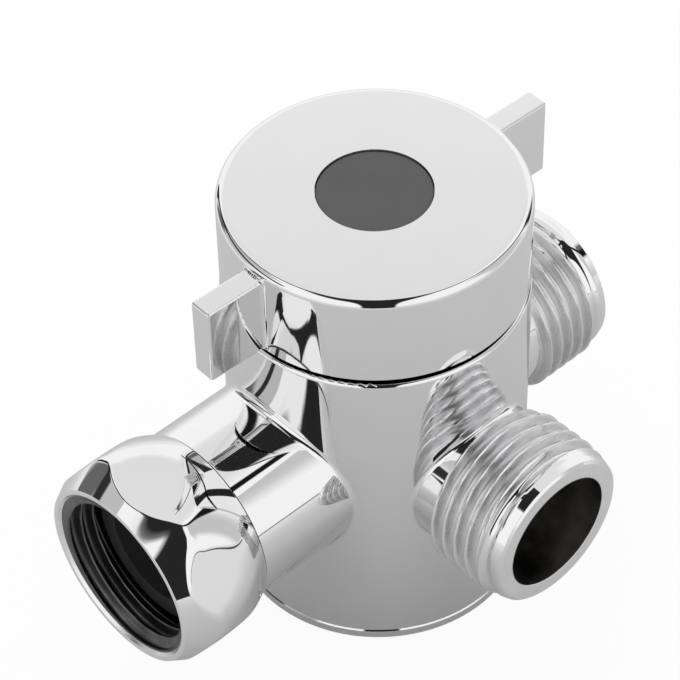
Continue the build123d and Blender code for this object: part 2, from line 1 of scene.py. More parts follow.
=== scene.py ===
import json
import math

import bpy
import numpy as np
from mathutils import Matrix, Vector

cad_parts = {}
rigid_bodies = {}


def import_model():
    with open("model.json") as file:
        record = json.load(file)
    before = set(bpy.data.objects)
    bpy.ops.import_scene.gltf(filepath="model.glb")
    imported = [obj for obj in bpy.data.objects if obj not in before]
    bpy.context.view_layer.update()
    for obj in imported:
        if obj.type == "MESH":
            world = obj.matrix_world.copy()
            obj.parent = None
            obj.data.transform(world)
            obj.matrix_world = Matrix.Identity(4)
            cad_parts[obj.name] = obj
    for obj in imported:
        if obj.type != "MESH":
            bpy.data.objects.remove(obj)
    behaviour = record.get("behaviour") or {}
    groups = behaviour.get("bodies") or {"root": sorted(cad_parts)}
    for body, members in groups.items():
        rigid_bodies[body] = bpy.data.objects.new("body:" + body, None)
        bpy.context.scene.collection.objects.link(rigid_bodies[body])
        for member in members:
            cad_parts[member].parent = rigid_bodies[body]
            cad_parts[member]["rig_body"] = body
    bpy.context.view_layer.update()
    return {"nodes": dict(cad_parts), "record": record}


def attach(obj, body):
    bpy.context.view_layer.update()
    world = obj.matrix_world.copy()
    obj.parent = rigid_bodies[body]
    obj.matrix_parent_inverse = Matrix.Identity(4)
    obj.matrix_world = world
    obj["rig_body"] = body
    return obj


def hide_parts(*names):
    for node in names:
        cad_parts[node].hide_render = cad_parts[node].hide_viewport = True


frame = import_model()

# %% [markdown]
# # A plated shower diverter valve
#
# The valve is a round body with three ports at one height. Water comes in through a barrel-shaped
# swivel nut, and a winged handle on top turns a ceramic disc inside by a quarter turn. The disc
# sends the water straight on or out of the side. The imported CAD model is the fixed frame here:
# it gives every size and place, and this file gives the pieces their finish, their real threads
# and the light of a product photograph.

MM = 0.001
print("CAD nodes:", len(frame["nodes"]))

# %% [markdown]
# ## Writing materials as sums
#
# Node materials could be wired by hand, one link at a time, but a recipe such as
# "0.03 plus a tenth of the cloudiness" is easier to read as a sum. A small class wraps the output
# of a node, and each sign adds the Math node that does it. Everything else goes through one method
# of the material's bench, which takes a node's type, its settings and what goes into its sockets.

# %% A wrapped node output
class Flow:
    """What comes out of a node. Signs between flows and numbers add Math nodes."""

    def __init__(self, bench, socket):
        self.bench = bench
        self.socket = socket

    def maths(self, operation, first, second):
        return self.bench.node("ShaderNodeMath", {"operation": operation}, {0: first, 1: second})

    def __add__(self, other):
        return self.maths("ADD", self, other)

    def __rsub__(self, other):
        return self.maths("SUBTRACT", other, self)

    def __mul__(self, other):
        return self.maths("MULTIPLY", self, other)

    def __truediv__(self, other):
        return self.maths("DIVIDE", self, other)

    def at_most(self, other):
        return self.maths("MINIMUM", self, other)

    __radd__ = __add__
    __rmul__ = __mul__


# %% A bench on which one material is made
class Bench:
    """Adds nodes to one node tree and links them."""

    def __init__(self, tree):
        self.tree = tree
        self.tree.nodes.clear()

    def node(self, kind, settings=None, feeds=None, out=0):
        """One node: its settings first, then the values or links of its sockets."""
        made = self.tree.nodes.new(kind)
        for name, value in (settings or {}).items():
            setattr(made, name, value)
        for name, value in (feeds or {}).items():
            self.feed(made.inputs[name], value)
        return Flow(self, made.outputs[out]) if made.outputs else None

    def feed(self, socket, value):
        if isinstance(value, Flow):
            self.tree.links.new(value.socket, socket)
        else:
            socket.default_value = value

    def blend(self, share, low, high):
        """A colour between two, through a Mix node so that it stays a colour."""
        return self.node(
            "ShaderNodeMix", {"data_type": "RGBA"}, {0: share, 6: rgba(low), 7: rgba(high)}, out=2
        )

    def ramp(self, share, stops):
        """A number that follows a few stops of (place, height)."""
        made = self.tree.nodes.new("ShaderNodeValToRGB")
        bar = made.color_ramp
        while len(bar.elements) < len(stops):
            bar.elements.new(0.5)
        for element, (place, height) in zip(bar.elements, stops):
            element.position = place
            element.color = (height, height, height, 1)
        self.feed(made.inputs[0], share)
        return Flow(self, made.outputs[0])

    def cloud(self, size_mm, detail=2.0, roughness=0.5):
        """Soft noise with blotches of about this size, fixed to the piece."""
        place = self.node("ShaderNodeTexCoord", out="Object")
        return self.node("ShaderNodeTexNoise", None, {
            "Vector": place, "Scale": 1 / (size_mm * MM), "Detail": detail, "Roughness": roughness,
        })

    def bump(self, height, depth_mm, strength=1.0):
        """Surface relief of a given depth."""
        return self.node("ShaderNodeBump", None, {
            "Strength": strength, "Distance": depth_mm * MM, "Height": height,
        })

    def coat(self, colour, roughness, relief, metallic=0.0):
        """The end of most recipes: one surface with its colour, gloss and relief."""
        self.finish(self.node("ShaderNodeBsdfPrincipled", None, {
            "Metallic": metallic, "Base Color": colour, "Roughness": roughness, "Normal": relief,
        }))

    def finish(self, shader):
        self.node("ShaderNodeOutputMaterial", None, {"Surface": shader})


def rgba(colour):
    """Three numbers as a colour with full cover; a flow passes unchanged."""
    return colour if isinstance(colour, Flow) else (*colour, 1)


def new_material(name):
    material = bpy.data.materials.new(name)
    material.use_nodes = True
    return material, Bench(material.node_tree)


print("bench ready")

# %% [markdown]
# ## Bright chrome plate
#
# Polished plate over brass is a mirror with a faint haze. Almost all of its look is what it
# reflects, so the material stays simple: a full metal, nearly smooth, with a trace of haze that
# drifts over the surface and a polishing wave far too shallow to feel.

# %% Bright plate
def bright_plate():
    material, bench = new_material("bright_plate")
    haze = bench.cloud(9, detail=3)
    wave = bench.cloud(3.5, detail=1)
    tone = bench.blend(haze, (0.86, 0.86, 0.87), (0.91, 0.91, 0.91))
    bench.coat(tone, 0.015 + 0.035 * haze, bench.bump(wave, 0.002, 0.35), metallic=1.0)
    return material


plate = bright_plate()
print(plate.name, len(plate.node_tree.nodes), "nodes")

# %% [markdown]
# ## Plate over a cut thread
#
# The thread is cut, not polished, before it is plated. Its crests are rubbed smooth and keep the
# plate's full colour, and its roots keep a fine grain that scatters the light; the roots are also
# painted darker, with random blotches, as painted shade in the hollows of the thread. The thread's
# mesh carries how high each point stands above the root, and the material reads that height to pass
# from grainy and shaded to bright.

# %% Thread plate
def thread_plate():
    material, bench = new_material("thread_plate")
    height = bench.node("ShaderNodeAttribute", {"attribute_name": "height"}, out="Fac")
    crest = bench.ramp(height, [(0.0, 0), (0.6, 0.1), (0.9, 1)])
    grain = bench.cloud(0.22, detail=3, roughness=0.7)
    stain = bench.cloud(2.5, detail=3)
    # Painted shade: the roots are coloured darker than the crests, mottled by a random stain.
    root_shade = bench.blend(stain, (0.64, 0.64, 0.65), (0.82, 0.82, 0.83))
    tone = bench.blend(crest, root_shade, (0.9, 0.9, 0.9))
    gloss = 0.27 - 0.2 * crest + 0.04 * grain
    bench.coat(tone, gloss, bench.bump(grain, 0.002, 0.5), metallic=1.0)
    return material


threads_finish = thread_plate()
print(threads_finish.name, len(threads_finish.node_tree.nodes), "nodes")

# %% [markdown]
# Three more states of the metal follow. The faces that meet a washer are turned and left satin.
# Inside the bores the metal is rough and painted nearly black, with random lighter blotches:
# painted shade of the deep bores. The inside of the nut is painted dark too, more evenly: painted
# shade.

# %% Satin plate, and painted shade in the bores and inside the nut
def clouded_metal(name, dark, light, gloss, blotch_mm, grain_mm, grain_depth):
    """A metal whose tone drifts in blotches over a fine grain."""
    material, bench = new_material(name)
    blotch = bench.ramp(bench.cloud(blotch_mm, detail=3), [(0.3, 0), (0.7, 1)])
    grain = bench.cloud(grain_mm, detail=2, roughness=0.6)
    tone = bench.blend(blotch, dark, light)
    bench.coat(tone, gloss + 0.1 * grain, bench.bump(grain, grain_depth, 0.5), metallic=1.0)
    return material


satin_plate = clouded_metal(
    "satin_plate", (0.88, 0.88, 0.89), (0.95, 0.95, 0.95), 0.2, 3, 0.25, 0.0015)
# Painted shade: the bores are coloured nearly black, with random lighter blotches.
shaded_bore = clouded_metal(
    "shaded_bore", (0.03, 0.03, 0.028), (0.45, 0.43, 0.39), 0.36, 6, 0.3, 0.008)
# Painted shade: the nut's inside is coloured dark grey.
shaded_nut_inside = clouded_metal(
    "shaded_nut_inside", (0.1, 0.1, 0.1), (0.2, 0.2, 0.2), 0.3, 3, 0.25, 0.004)
print("clouded metals:", satin_plate.name, shaded_bore.name, shaded_nut_inside.name)

# %% [markdown]
# ## Plastics and rubber
#
# The insert in the handle is a dark satin plastic with a fine moulded grain. The washer in the nut
# is black rubber. Inside, the cartridge is pale plastic with ceramic discs. All of these are one
# recipe, each with its own colour, grain and gloss.

# %% Moulded materials
def moulded(name, dark, light, gloss, grain_mm, grain_depth):
    """A moulded or pressed material with a little mottling and a fine grain."""
    material, bench = new_material(name)
    mottle = bench.cloud(4, detail=4)
    grain = bench.cloud(grain_mm, detail=2, roughness=0.6)
    tone = bench.blend(mottle, dark, light)
    bench.coat(tone, gloss + 0.08 * mottle, bench.bump(grain, grain_depth, 0.6))
    return material


insert_grey = moulded(
    "insert_grey", (0.066, 0.066, 0.07), (0.088, 0.088, 0.092), 0.42, 0.12, 0.004)
washer_black = moulded(
    "washer_black", (0.012, 0.012, 0.012), (0.03, 0.03, 0.03), 0.55, 0.3, 0.015)
cartridge_white = moulded(
    "cartridge_white", (0.72, 0.72, 0.7), (0.82, 0.82, 0.8), 0.45, 0.3, 0.01)
washer_white = moulded(
    "washer_white", (0.84, 0.84, 0.82), (0.92, 0.92, 0.9), 0.35, 0.3, 0.005)
fired_ceramic = moulded(
    "fired_ceramic", (0.8, 0.78, 0.74), (0.9, 0.89, 0.86), 0.2, 0.08, 0.001)
print("moulded materials:", insert_grey.name, washer_black.name, cartridge_white.name)

# %% [markdown]
# ## Turned brass and spring steel
#
# The spindle, the gland nut and the stop ring are brass straight from the lathe, and the clip and
# the screw are steel. A lathe leaves fine rings about the axis: noise that is squeezed hard along
# the axis and stretched round it gives such rings without drawing each one.

# %% Turned metals
def turned_metal(name, dark, light, gloss):
    material, bench = new_material(name)
    place = bench.node("ShaderNodeTexCoord", out="Object")
    squeezed = bench.node("ShaderNodeMapping", None, {"Vector": place, "Scale": (40, 40, 9000)})
    rings = bench.node("ShaderNodeTexNoise", None, {
        "Vector": squeezed, "Scale": 1.0, "Detail": 2.0,
    })
    tone = bench.blend(rings, dark, light)
    bench.coat(tone, gloss + 0.15 * rings, bench.bump(rings, 0.01, 0.4), metallic=1.0)
    return material


turned_brass = turned_metal("turned_brass", (0.62, 0.42, 0.16), (0.82, 0.6, 0.3), 0.2)
spring_steel = turned_metal("spring_steel", (0.42, 0.42, 0.43), (0.62, 0.62, 0.63), 0.22)
print("turned metals:", turned_brass.name, spring_steel.name)

# %% The finish of each slot goes on every CAD node
FINISHES = {
    "chrome": plate,
    "index_grey": insert_grey,
    "black_rubber": washer_black,
    "brass": turned_brass,
    "spring_steel": spring_steel,
    "ceramic": fired_ceramic,
    "cartridge_plastic": cartridge_white,
    "washer_plastic": washer_white,
}
slot_of = {part["node"]: part["material_slot"] for part in frame["record"]["subparts"]}


def dress(piece, finish):
    """One material all over a piece."""
    piece.data.materials.clear()
    piece.data.materials.append(finish)


def refinish(piece, finish, where):
    """A second material on the faces whose middles, in millimetres, where() picks."""
    mesh = piece.data
    middles = np.zeros(len(mesh.polygons) * 3)
    mesh.polygons.foreach_get("center", middles)
    picked = where(middles.reshape(-1, 3) / MM)
    kept = np.zeros(len(mesh.polygons), int)
    mesh.polygons.foreach_get("material_index", kept)
    mesh.materials.append(finish)
    kept[picked] = len(mesh.materials) - 1
    mesh.polygons.foreach_set("material_index", kept)
    mesh.update()
    print(f"{finish.name} on {picked.sum()} faces of {piece.name}")


for node_name, node in frame["nodes"].items():
    dress(node, FINISHES[slot_of[node_name]])
print("dressed", len(frame["nodes"]), "CAD nodes")

# %% [markdown]
# ## Exact reflections on the CAD surfaces
#
# A mirror shows every error of its normals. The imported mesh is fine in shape, but its normals are
# averaged where a flat or a barrel runs into a blend, and chrome would show that as a dent. Each
# visible plated piece is therefore shown by a copy whose normals are worked out again: every
# triangle is matched with the true surface it was cut from, a barrel, a cone, a ring-shaped edge
# or a rolling-ball blend, and what matches none of them is flat.

# %% Sizes shared with the CAD, in millimetres
CREST_R, ROOT_R, PITCH = 10.4775, 9.3155, 1.814  # the half-inch pipe thread
BODY_R, BODY_TOP, BODY_EDGE = 18.24, 45.2, 0.5
PORT_HEIGHT, STUB_R, TAIL_R, NECK_R = 24.4, 11.2, 8.8, 9.2155
STUB_ROOT_BALL, NECK_ROOT_BALL = 0.9, 0.7
PASSAGE_R, OUTLET_BORE_R, INLET_BORE_R = 4.6, 7.4, 6.3
OUTLET_BORE_START, INLET_BORE_START = 16.49, 15.0
THREAD_START, OUTLET_END = 19.04, 30.39
FOOT_CAP_TOP, FOOT_CAP_LIP = 1.6, 0.35
HANDLE_R, HANDLE_WALL, HANDLE_TOP, HANDLE_EDGE = 18.15, 2.4, 58.3, 1.15
WING_END, WING_T, WING_LOW, WING_HIGH = 25.95, 2.95, 46.35, 56.9
WING_LEAN, WING_EDGE, WING_ROOT_BALL = math.radians(-1.4), 0.35, 0.6
INSERT_R, INSERT_TOP, INSERT_EDGE, INSERT_GAP = 6.78, 58.1, 0.15, 0.05

UP = np.array([0.0, 0.0, 1.0])
SPINDLE = (0, 0, 0)
PORT_CENTRE = np.array([0, 0, PORT_HEIGHT])
PORTS = {"inlet": (-1, 0, 0), "straight": (1, 0, 0), "branch": (0, -1, 0)}
OUTLETS = ("straight", "branch")


def unit(rows):
    return rows / np.maximum(np.linalg.norm(rows, axis=-1, keepdims=True), 1e-12)


def along_port(points, port):
    """How far points reach along a port, and how far they are from its axis."""
    arm = points - PORT_CENTRE
    axis = np.array(PORTS[port], float)
    reach = arm @ axis
    return reach, np.linalg.norm(arm - reach[..., None] * axis, axis=-1)


def new_piece(name, points, faces):
    """A smooth mesh object from points in millimetres."""
    mesh = bpy.data.meshes.new(name)
    mesh.from_pydata((np.array(points) * MM).tolist(), [], np.array(faces).tolist())
    mesh.polygons.foreach_set("use_smooth", np.ones(len(faces), bool))
    piece = bpy.data.objects.new(name, mesh)
    bpy.context.scene.collection.objects.link(piece)
    return piece


# %% [markdown]
# Each kind of surface is a function that takes points and gives two things back: how far each
# point is from the surface, and the surface's normal there.

# %% The kinds of surface that the valve is made of
END_SLACK = 0.001                     # past the two ends of a cone or the start of a skin
BLEND_REACH, BLEND_STEPS, POINTS_AT_ONCE = 12, 2881, 400


def barrel(centre, axis, radius):
    """A cylinder."""
    centre, axis = np.array(centre, float), np.array(axis, float)

    def surface(points):
        arm = points - centre
        arm = arm - (arm @ axis)[:, None] * axis
        return np.abs(np.linalg.norm(arm, axis=1) - radius), unit(arm)

    return surface


def cone(centre, axis, near, far):
    """A cone between two (reach, radius) pairs along an axis, near being the lesser reach."""
    centre, axis = np.array(centre, float), np.array(axis, float)
    run, rise = far[0] - near[0], far[1] - near[1]

    def surface(points):
        arm = points - centre
        reach = arm @ axis
        arm = arm - reach[:, None] * axis
        ideal = near[1] + rise * (reach - near[0]) / run
        normal = unit(unit(arm) * run - axis * rise)
        off = np.abs(np.linalg.norm(arm, axis=1) - ideal)
        outside = (reach < near[0] - END_SLACK) | (reach > far[0] + END_SLACK)
        return off + outside, normal

    return surface


def ring_edge(height, ring_radius, edge_radius):
    """A rounded edge round the spindle axis."""

    def surface(points):
        flat = points * np.array([1.0, 1.0, 0.0])
        arm = points - unit(flat) * ring_radius - UP * height
        return np.abs(np.linalg.norm(arm, axis=1) - edge_radius), unit(arm)

    return surface


def root_blend(port, port_radius, ball_radius):
    """The hollow blend that a rolling ball leaves between the body and a port."""
    direction = np.array(PORTS[port], float)
    side = np.cross(UP, direction)
    turn = np.linspace(0, 2 * math.pi, BLEND_STEPS)[:, None]
    across = (port_radius + ball_radius) * np.sin(turn)
    path = (
        np.sqrt((BODY_R + ball_radius) ** 2 - across ** 2) * direction
        + across * side
        + (PORT_HEIGHT + (port_radius + ball_radius) * np.cos(turn)) * UP
    )

    def surface(points):
        off = np.ones(len(points))
        normal = np.tile(UP, (len(points), 1))
        chosen = np.flatnonzero(np.abs(points @ direction - BODY_R) < BLEND_REACH)
        for part in np.array_split(chosen, max(1, len(chosen) // POINTS_AT_ONCE)):
            arms = path[None, :, :] - points[part][:, None, :]
            lengths = np.linalg.norm(arms, axis=2)
            best = lengths.argmin(axis=1)
            rows = np.arange(len(part))
            off[part] = np.abs(lengths[rows, best] - ball_radius)
            normal[part] = unit(arms[rows, best])
        return off, normal

    return surface


print("surface kinds: barrel, cone, ring edge, root blend")

# %% A copy of a CAD node with true normals
MATCH_WITHIN, MATCH_FACING = 0.004, 0.8  # distance in mm, and cosine of the two normals
SLIVER_AREA, DECIMALS = 1e-10, 8


def true_copy(node_name, name, surfaces, drop=None, finish=plate):
    """Shows a CAD node by a copy of its mesh, without the faces that drop() picks."""
    node = frame["nodes"][node_name]
    source = node.data
    points = np.zeros(len(source.vertices) * 3)
    source.vertices.foreach_get("co", points)
    points = np.round(points.reshape(-1, 3), DECIMALS)
    points, index = np.unique(points, axis=0, return_inverse=True)
    points = points / MM
    corners = np.zeros(len(source.loops), int)
    source.loops.foreach_get("vertex_index", corners)
    triangles = index.ravel()[corners].reshape(-1, 3)
    edge_a = points[triangles[:, 1]] - points[triangles[:, 0]]
    edge_b = points[triangles[:, 2]] - points[triangles[:, 0]]
    crossed = np.cross(edge_a, edge_b)
    keep = np.linalg.norm(crossed, axis=1) > SLIVER_AREA
    if drop is not None:
        keep &= ~drop(points[triangles])
    triangles, flat = triangles[keep], unit(crossed[keep])
    normals = np.repeat(flat[:, None, :], 3, axis=1)
    taken = np.zeros(len(triangles), bool)
    for surface in surfaces:
        off, true = surface(points)
        corner_normals = true[triangles]
        facing = np.einsum("ijk,ik->ij", corner_normals, flat)
        match = (off[triangles].max(axis=1) < MATCH_WITHIN) & ~taken
        match &= np.abs(facing).min(axis=1) > MATCH_FACING
        normals[match] = corner_normals[match] * np.sign(facing[match])[:, :, None]
        taken |= match
    piece = new_piece(name, points, triangles)
    piece.data.normals_split_custom_set(normals.reshape(-1, 3).tolist())
    dress(piece, finish)
    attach(piece, node["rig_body"])
    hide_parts(node_name)
    print(f"{name}: {len(triangles)} triangles, {taken.sum()} on curved surfaces")
    return piece


# %% [markdown]
# ## The body
#
# The body's barrel, its blends and its bores come from the CAD. The plain rings that stand for the
# two outlet threads are left out of the copy, together with the outlets' ends, because the threads
# below take their place.

# %% The body's shell
BORE_SLACK, BORE_RIM = 0.01, 0.3


def outlet_skin(corners):
    """True for triangles on the outside of an outlet, from the thread outward."""
    picked = np.zeros(len(corners), bool)
    for port in OUTLETS:
        reach, radius = along_port(corners, port)
        beyond_neck = reach.min(axis=1) > THREAD_START - END_SLACK
        picked |= beyond_neck & (radius.max(axis=1) > OUTLET_BORE_R + BORE_SLACK)
    return picked


def in_outlet_bore(middles):
    """True inside the two outlets and the water ways behind them."""
    picked = np.zeros(len(middles), bool)
    for port in OUTLETS:
        reach, radius = along_port(middles, port)
        inside = radius < OUTLET_BORE_R + BORE_SLACK
        picked |= (reach > 0) & (reach < OUTLET_END - BORE_RIM) & inside
    return picked


def bore_cone(port, start, bore_r, steepness):
    """The cone between a drilled passage and the wider bore in front of it."""
    run = (bore_r - PASSAGE_R) / steepness
    return cone(PORT_CENTRE, PORTS[port], (start, PASSAGE_R), (start + run, bore_r))


body_surfaces = [
    root_blend("inlet", STUB_R, STUB_ROOT_BALL),
    *[root_blend(port, NECK_R, NECK_ROOT_BALL) for port in OUTLETS],
    barrel(SPINDLE, UP, BODY_R),
    ring_edge(BODY_TOP - BODY_EDGE, BODY_R - BODY_EDGE, BODY_EDGE),
    *[barrel(PORT_CENTRE, PORTS["inlet"], radius) for radius in (STUB_R, TAIL_R, INLET_BORE_R)],
    *[barrel(PORT_CENTRE, PORTS[port], radius)
      for port in OUTLETS for radius in (NECK_R, OUTLET_BORE_R, PASSAGE_R)],
    *[bore_cone(port, OUTLET_BORE_START, OUTLET_BORE_R, 2) for port in OUTLETS],
    bore_cone("inlet", INLET_BORE_START, INLET_BORE_R, 1),
]
body_shell = true_copy("valve_body", "body_shell", body_surfaces, drop=outlet_skin)
# Painted shade on the inside of the two outlets and the water ways behind them.
refinish(body_shell, shaded_bore, in_outlet_bore)

# %% The base cap
base_ring = true_copy("base_cap", "base_ring", [
    barrel(SPINDLE, UP, BODY_R),
    cone(SPINDLE, UP, (0, BODY_R - FOOT_CAP_LIP / 2), (FOOT_CAP_LIP / 2, BODY_R)),
    cone(SPINDLE, UP, (FOOT_CAP_TOP - FOOT_CAP_LIP, BODY_R), (FOOT_CAP_TOP, BODY_R - FOOT_CAP_LIP)),
])

# %% [markdown]
# The two wings of the handle lie on one line through the spindle, so one long block with rounded
# edges stands for both. A small hollow blend joins each wing to the cap.

# %% The handle and its insert
WING_AXES = np.array([
    [math.cos(WING_LEAN), math.sin(WING_LEAN), 0],
    [-math.sin(WING_LEAN), math.cos(WING_LEAN), 0],
    [0, 0, 1],
])


def wing_faces(points):
    """The rounded block of both wings, from tip to tip."""
    low = np.array([-WING_END, -WING_T / 2, WING_LOW]) + WING_EDGE
    high = np.array([WING_END, WING_T / 2, WING_HIGH]) - WING_EDGE
    own = points @ WING_AXES.T
    arm = own - np.clip(own, low, high)
    return np.abs(np.linalg.norm(arm, axis=1) - WING_EDGE), unit(arm) @ WING_AXES


root_y = WING_T / 2 + WING_ROOT_BALL
root_x = math.sqrt((HANDLE_R + WING_ROOT_BALL) ** 2 - root_y ** 2)
wing_roots = [
    barrel(np.array([end * root_x, side * root_y, 0]) @ WING_AXES, UP, WING_ROOT_BALL)
    for end in (1, -1) for side in (-1, 1)
]
handle_shell = true_copy("handle", "handle_shell", [
    *wing_roots,
    barrel(SPINDLE, UP, HANDLE_R),
    ring_edge(HANDLE_TOP - HANDLE_EDGE, HANDLE_R - HANDLE_EDGE, HANDLE_EDGE),
    wing_faces,
    barrel(SPINDLE, UP, INSERT_R + INSERT_GAP),
    barrel(SPINDLE, UP, HANDLE_R - HANDLE_WALL),
])
insert_disc = true_copy("index_cap", "insert_disc", [
    barrel(SPINDLE, UP, INSERT_R),
    cone(SPINDLE, UP, (INSERT_TOP - INSERT_EDGE, INSERT_R), (INSERT_TOP, INSERT_R - INSERT_EDGE)),
], finish=insert_grey)

# %% [markdown]
# ## Turned skins
#
# A port's outside could be modelled by sweeping a section round its axis, and the threads and the
# nut need more: their radius also changes round the axis. So one helper lays a grid of points round
# a port from a row of (reach, radius) pairs, and a shaping step moves the radius at each point.
# Corners of the section get a small arc with a support point on each side, which keeps the long
# faces beside them truly straight in the reflection.

# %% Rounding the corners of a section
ARC_STEPS, ARC_ROOM, SUPPORT_SHARE, SUPPORT_ROOM = 5, 0.42, 0.3, 0.05


def softened(section, edge):
    """A section of (reach, radius) points whose inner corners are small arcs."""
    section = [np.array(p, float) for p in section]
    soft = [section[0]]
    for before, corner, after in zip(section, section[1:], section[2:]):
        to_before, to_after = before - corner, after - corner
        room = min(np.linalg.norm(to_before), np.linalg.norm(to_after))
        to_before, to_after = unit(to_before), unit(to_after)
        bend = math.pi - math.acos(float(np.clip(to_before @ to_after, -1, 1)))
        cut = min(edge * math.tan(bend / 2), ARC_ROOM * room)
        support = min(cut * SUPPORT_SHARE, SUPPORT_ROOM * room)
        first, last = corner + to_before * cut, corner + to_after * cut
        soft.append(first + to_before * support)
        for share in np.linspace(0, 1, ARC_STEPS + 1):
            rest = 1 - share
            soft.append(rest ** 2 * first + 2 * share * rest * corner + share ** 2 * last)
        soft.append(last + to_after * support)
    soft.append(section[-1])
    return np.array(soft)


def densely(section, longest):
    """The same section with extra points, none further apart than the longest step."""
    dense = [section[0]]
    for start, end in zip(section, section[1:]):
        parts = max(1, math.ceil(np.linalg.norm(end - start) / longest))
        dense += [start + (end - start) * (k + 1) / parts for k in range(parts)]
    return np.array(dense)


# %% Laying a section round a port
def port_skin(name, port, section, finish, body, turns, shape, closed=False):
    """A skin round a port axis. The angle starts at the top and runs toward Z x axis."""
    axis = np.array(PORTS[port], float)
    side = np.cross(UP, axis)
    angle = np.linspace(0, 2 * math.pi, turns, endpoint=False)[None, :]
    reach = section[:, :1] + 0 * angle
    radius, height = shape(reach, section[:, 1:] + 0 * angle, angle)
    points = PORT_CENTRE + (
        reach[..., None] * axis
        + (radius * np.sin(angle))[..., None] * side
        + (radius * np.cos(angle))[..., None] * UP
    )
    ids = np.arange(radius.size).reshape(radius.shape)
    if closed:
        ids = np.vstack([ids, ids[:1]])
    right = np.roll(ids, -1, axis=1)
    quads = np.stack([ids[:-1], right[:-1], right[1:], ids[1:]], axis=-1).reshape(-1, 4)
    piece = new_piece(name, points.reshape(-1, 3), quads)
    heights = piece.data.attributes.new("height", "FLOAT", "POINT")
    heights.data.foreach_set("value", height.ravel())
    dress(piece, finish)
    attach(piece, body)
    print(f"{name}: {len(quads)} quads")
    return piece


# %% [markdown]
# ## The pipe threads
#
# A thread is a ridge wound round the port. A right-hand ridge that moves outward by one pitch each
# turn keeps reach plus pitch times the turned share constant, so the height of the ridge is a
# function of that sum alone. The crests of this thread are narrow and the roots between them are
# wide and hollow, so a flank is for the most part a power curve. The end of each outlet is a cone
# that cuts the last turns down, and at the body the ridge fades out into the neck.

# %% The ridge of a half-inch pipe thread
ROOT_LAND, CREST_LAND = 0.1, 0.08  # shares of half a pitch
HOLLOW_SHARE, HOLLOW_POWER = 0.7, 2.5


def ridge(reach, angle, crest_at):
    """Height of the ridge from 0 at the root to 1 at the crest."""
    place = ((reach + PITCH * angle / (2 * math.pi) - crest_at) / PITCH + 0.5) % 1
    tent = 1 - np.abs(2 * place - 1)
    flank = np.clip((tent - ROOT_LAND) / (1 - ROOT_LAND - CREST_LAND), 0, 1)
    return (1 - HOLLOW_SHARE) * flank + HOLLOW_SHARE * flank ** HOLLOW_POWER


def soft_min(a, b, width):
    """The lesser of two, with the step between them rounded over a width."""
    share = np.clip(0.5 + 0.5 * (b - a) / width, 0, 1)
    return b + (a - b) * share - width * share * (1 - share)


# %% The two outlets
SKIN_START, RUN_OUT_START, RUN_OUT = 18.3, 19.0, 0.75
NECK_DROP = 0.12                      # of the neck under the root of the thread
TURNS_END, CONE_START = 27.4, 27.5    # where the fine rows of the thread stop
CONE_R, CONE_AT, CONE_FALL = 10.44, 27.6, 0.3
CUT_END, CUT_ROUNDING, OUTSIDE_R = 29.0, 0.06, 9.0
CONE_FIRST_R, CONE_LAST_R, FACE_R = 10.47, 9.675, 9.35
FACE_EDGE, BORE_EDGE, BORE_DEPTH, END_ARC = 0.25, 0.1, 0.99, 0.08
SATIN_DEPTH = 0.03                    # of the end face, which is left satin
THREAD_STEP, PLAIN_STEP, OUTLET_COLUMNS = 0.11, 0.5, 300
CREST_PLACES = {"straight": 19.4, "branch": 19.59}


def outlet_shape(crest_at):
    """The radius of an outlet's skin: thread, then the cone that ends it."""

    def shape(reach, radius, angle):
        fade = np.clip((reach - RUN_OUT_START) / RUN_OUT, 0, 1)
        height = ridge(reach, angle, crest_at) * fade
        thread = ROOT_R - NECK_DROP * (1 - fade) + (CREST_R - ROOT_R) * height
        end_cone = CONE_R - (reach - CONE_AT) * CONE_FALL
        cut = soft_min(thread, end_cone, CUT_ROUNDING)
        shaped = np.where((reach < CUT_END) & (radius > OUTSIDE_R), cut, radius)
        return shaped, height * (reach < TURNS_END)

    return shape


outer_run = densely(np.array([(SKIN_START, NECK_R), (TURNS_END, NECK_R)]), THREAD_STEP)
end_run = softened([
    (CONE_START, CONE_FIRST_R),
    (OUTLET_END - FACE_EDGE, CONE_LAST_R),
    (OUTLET_END, FACE_R),
    (OUTLET_END, OUTLET_BORE_R + BORE_EDGE),
    (OUTLET_END - BORE_EDGE, OUTLET_BORE_R),
    (OUTLET_END - BORE_DEPTH, OUTLET_BORE_R),
], END_ARC)
outlet_section = np.vstack([outer_run, densely(end_run, PLAIN_STEP)])
for port, crest_at in CREST_PLACES.items():
    skin = port_skin(f"{port}_outlet_thread", port, outlet_section, threads_finish, "valve",
                     OUTLET_COLUMNS, outlet_shape(crest_at))
    refinish(skin, plate, lambda middles: along_port(middles, port)[0] > CONE_START)
    refinish(skin, satin_plate,
             lambda middles: along_port(middles, port)[0] > OUTLET_END - SATIN_DEPTH)

# %% [markdown]
# ## The swivel nut
#
# The nut is a barrel with six flats, and a turned cone leads from its belly down to the mouth.
# Where a flat meets the barrel the edge is polished round, so the two shapes are joined by a soft
# minimum instead of a hard cut, and the edge is crisper toward the mouth. Inside are the chamfer
# of the mouth, a few turns of female thread, the relief behind them and the collar that runs on
# the tail.

# %% The nut's outside
NUT_REAR, NUT_MOUTH, BELLY_FROM_MOUTH = 28.4, 41.05, 3.55
BELLY_R, REAR_R, RIM_R, HALF_FLATS = 13.7, 11.4, 11.5775, 12.55
FLAT_LEAN, FLAT_TURN = math.radians(5), math.pi / 3
MOUTH_SLOPE, MOUTH_HOLLOW, MOUTH_ROUNDING = 0.57, 0.01, 0.3
CRISP_EDGE, EXTRA_ROUNDING, CRISP_FROM, CRISP_RUN = 0.15, 0.5, 39, 3


